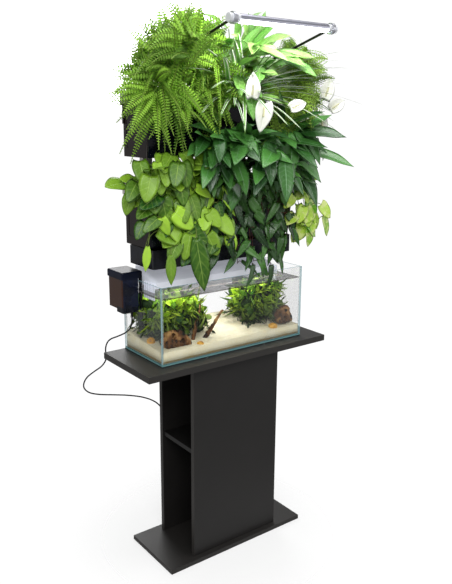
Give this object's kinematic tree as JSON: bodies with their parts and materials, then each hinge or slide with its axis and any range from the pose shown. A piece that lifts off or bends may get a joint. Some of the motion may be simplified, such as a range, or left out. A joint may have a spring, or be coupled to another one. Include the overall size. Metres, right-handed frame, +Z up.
{
  "type": "aquarium on stand",
  "caption": "Rimless glass aquarium on a column stand, with a hang-on filter and a drip-fed wall of planters on posts above it under a swinging tube light.",
  "frame": {"origin": "on the floor, at the middle of the base board's underside", "axes": "+X along the tank to its right end seen from the front, +Y towards the back, +Z up"},
  "size_m": [0.943, 0.5105, 1.888],
  "materials": {
    "laminate": "satin",
    "laminate_top": "satin",
    "screw_steel": "satin",
    "mat_foam": "matte",
    "glass": "gloss",
    "silicone": "satin",
    "sand": "matte",
    "driftwood": "matte",
    "pebble": "satin",
    "water_plant": "matte",
    "hood_plastic": "satin",
    "grey_timber": "matte",
    "bracket_steel": "satin",
    "planter_plastic": "gloss",
    "substrate": "matte",
    "filter_plastic": "gloss",
    "rotor_plastic": "satin",
    "clear_tube": "gloss",
    "arm_metal": "satin",
    "light_aluminium": "satin",
    "diffuser": "satin",
    "end_cap": "satin",
    "sponge": "matte",
    "smoke_tube": "gloss",
    "cord_rubber": "satin",
    "fern_leaf": "matte",
    "lily_leaf": "satin",
    "spider_leaf": "satin",
    "vine_leaf": "satin",
    "dark_leaf": "satin",
    "pothos_leaf": "satin"
  },
  "bodies": {
    "stand": {"base_board": "laminate", "front_panel": "laminate", "back_panel": "laminate", "centre_divider": "laminate", "shelf_left": "laminate", "shelf_right": "laminate", "top_board": "laminate_top", "panel_screws": "screw_steel", "shelf_pins": "screw_steel", "tank_mat": "mat_foam", "tank_bottom": "glass", "tank_front": "glass", "tank_back": "glass", "tank_left": "glass", "tank_right": "glass", "silicone_seams": "silicone", "sand_bed": "sand", "driftwood_left": "driftwood", "driftwood_right": "driftwood", "pebbles": "pebble", "water_plants_left": "water_plant", "water_plants_right": "water_plant", "drip_hood": "hood_plastic", "post_left": "grey_timber", "post_right": "grey_timber", "rail_upper": "grey_timber", "rail_lower": "grey_timber", "post_brackets": "bracket_steel", "frame_bolts": "screw_steel", "planter_upper": "planter_plastic", "planter_lower": "planter_plastic", "collector_tray": "planter_plastic", "substrate": "substrate", "pump_body": "filter_plastic", "riser_tube": "clear_tube", "arm_brackets": "bracket_steel", "filter_housing": "filter_plastic", "filter_sponge": "sponge", "filter_motor": "filter_plastic", "filter_intake": "smoke_tube", "cord_relief": "cord_rubber", "filter_cord": "cord_rubber", "filter_plug": "cord_rubber", "cord_clip": "planter_plastic", "fern_left": "fern_leaf", "fern_right": "fern_leaf", "peace_lily_top": "lily_leaf", "spider_plant": "spider_leaf", "philodendron": "vine_leaf", "trailing_plant": "dark_leaf", "peace_lily_lower": "lily_leaf", "variegated_pothos": "pothos_leaf"},
    "light_arms": {"light_arm_left": "arm_metal", "light_arm_right": "arm_metal"},
    "lamp": {"light_tube": "light_aluminium", "light_diffuser": "diffuser", "light_ends": "end_cap"},
    "lid": {"filter_lid": "filter_plastic"},
    "filter_rotor": {"filter_impeller": "rotor_plastic"},
    "pump_rotor": {"pump_impeller": "rotor_plastic"}
  },
  "joints": [
    {"name": "arm_swing", "type": "hinge", "parent": "stand", "child": "light_arms", "pos_m": [0.01, 0.134, 1.68], "axis": [-1, 0, 0], "range_deg": [0, 45]},
    {"name": "lamp_roll", "type": "hinge", "parent": "light_arms", "child": "lamp", "pos_m": [0.01, -0.3, 1.797], "axis": [1, 0, 0], "range_deg": [-30, 30]},
    {"name": "lid_lift", "type": "slide", "parent": "stand", "child": "lid", "axis": [0, 0, 1], "range_m": [0, 0.06]},
    {"name": "filter_impeller_spin", "type": "hinge", "parent": "stand", "child": "filter_rotor", "pos_m": [-0.316, 0.0585, 0.92], "axis": [0, 0, 1], "continuous": true},
    {"name": "pump_impeller_spin", "type": "hinge", "parent": "stand", "child": "pump_rotor", "pos_m": [0.2655, 0.112, 0.82], "axis": [0, 0, 1], "continuous": true}
  ]
}
